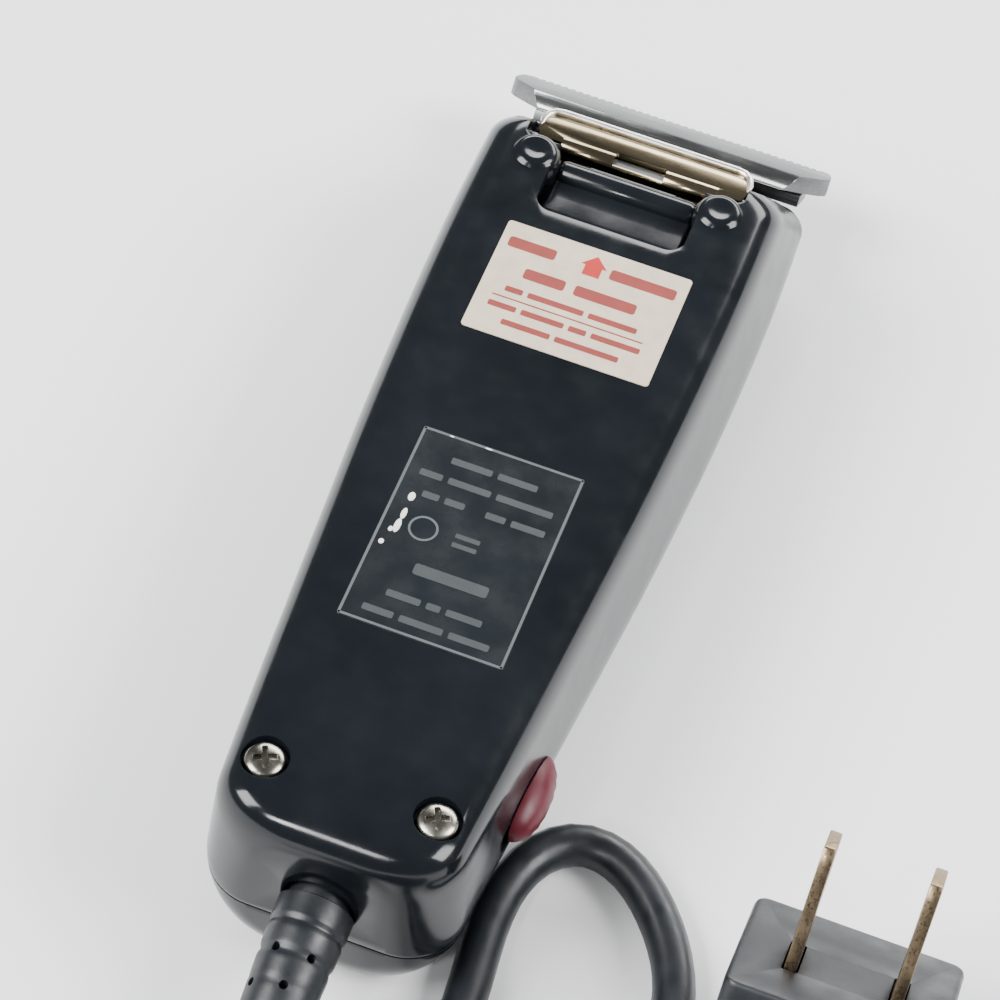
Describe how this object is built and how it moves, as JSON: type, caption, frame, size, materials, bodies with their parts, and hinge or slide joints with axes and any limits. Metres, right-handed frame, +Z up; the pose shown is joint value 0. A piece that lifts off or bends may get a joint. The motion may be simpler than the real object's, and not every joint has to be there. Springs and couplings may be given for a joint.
{
  "type": "hair clipper",
  "caption": "Small corded hair clipper with a vibrator motor, a wide T-shaped blade set, a release lever, a side switch and a plug on its cord.",
  "frame": {"origin": "on the surface that the clipper lies on, under the middle of its length and width", "axes": "+Z up, out of the clipper's back; +Y towards the blade; +X to the switch's side"},
  "size_m": [0.0974, 0.2627, 0.0417],
  "materials": {
    "shell": "glossy moulded",
    "steel": "ground",
    "nickel": "nickel plated",
    "brass": "worn plated",
    "rubber": "matt",
    "red": "satin",
    "cream": "printed film",
    "plate": "satin film",
    "copper": "enamelled wire",
    "iron": "stamped laminations",
    "nylon": "moulded"
  },
  "bodies": {
    "housing": {"back_housing": "shell", "front_cover": "shell", "instruction_label": "cream", "nameplate": "plate", "housing_screw_left": "nickel", "housing_screw_right": "nickel", "core_screw_left": "steel", "core_screw_right": "steel", "lever_pin": "steel", "lever_spring": "steel", "blade_hinge_pin": "steel", "core_laminations": "iron", "coil_bobbin": "nylon", "copper_winding": "copper", "armature_pivot_pin": "steel", "return_spring_left": "steel", "return_spring_right": "steel", "power_screw": "nickel", "switch_body": "nylon", "switch_contact": "brass", "lead_wire_live": "rubber", "lead_wire_neutral": "rubber", "cord_clamp": "nylon", "strain_relief": "rubber", "cord_to_coil": "rubber", "cord_to_plug": "rubber", "cord_coil": "rubber", "coil_tie": "nylon", "plug_body": "rubber", "plug_pin_left": "brass", "plug_pin_right": "brass", "plug_strain_relief": "rubber"},
    "release_lever": {"release_lever": "shell"},
    "blade_set": {"blade_hinge_plate": "brass", "fixed_blade": "steel", "cutter_spring": "nickel", "blade_screw_left": "nickel", "blade_screw_right": "nickel"},
    "cutter": {"moving_cutter": "steel"},
    "armature": {"armature": "iron"},
    "switch": {"switch_button": "red"}
  },
  "joints": [
    {"name": "lever_press", "type": "hinge", "parent": "housing", "child": "release_lever", "pos_m": [0, 0.0408, 0.0264], "axis": [1, 0, 0], "range_deg": [0, 8], "stiffness_Nm_per_rad": 0.03},
    {"name": "blade_swing", "type": "hinge", "parent": "housing", "child": "blade_set", "pos_m": [0, 0.047, 0.0246], "axis": [1, 0, 0], "range_deg": [0, 55]},
    {"name": "cutter_slide", "type": "slide", "parent": "blade_set", "child": "cutter", "axis": [1, 0, 0], "range_m": [-0.0013, 0.0013]},
    {"name": "armature_swing", "type": "hinge", "parent": "housing", "child": "armature", "pos_m": [0, 0.0048, 0.0108], "axis": [0, 0, 1], "range_deg": [-1.3, 1.3], "stiffness_Nm_per_rad": 0.4},
    {"name": "switch_slide", "type": "slide", "parent": "housing", "child": "switch", "axis": [0, 1, 0], "range_m": [-0.004, 0]}
  ],
  "couplings": [
    {"joint": "cutter_slide", "follows": "armature_swing", "m_per_rad": -0.0545}
  ]
}
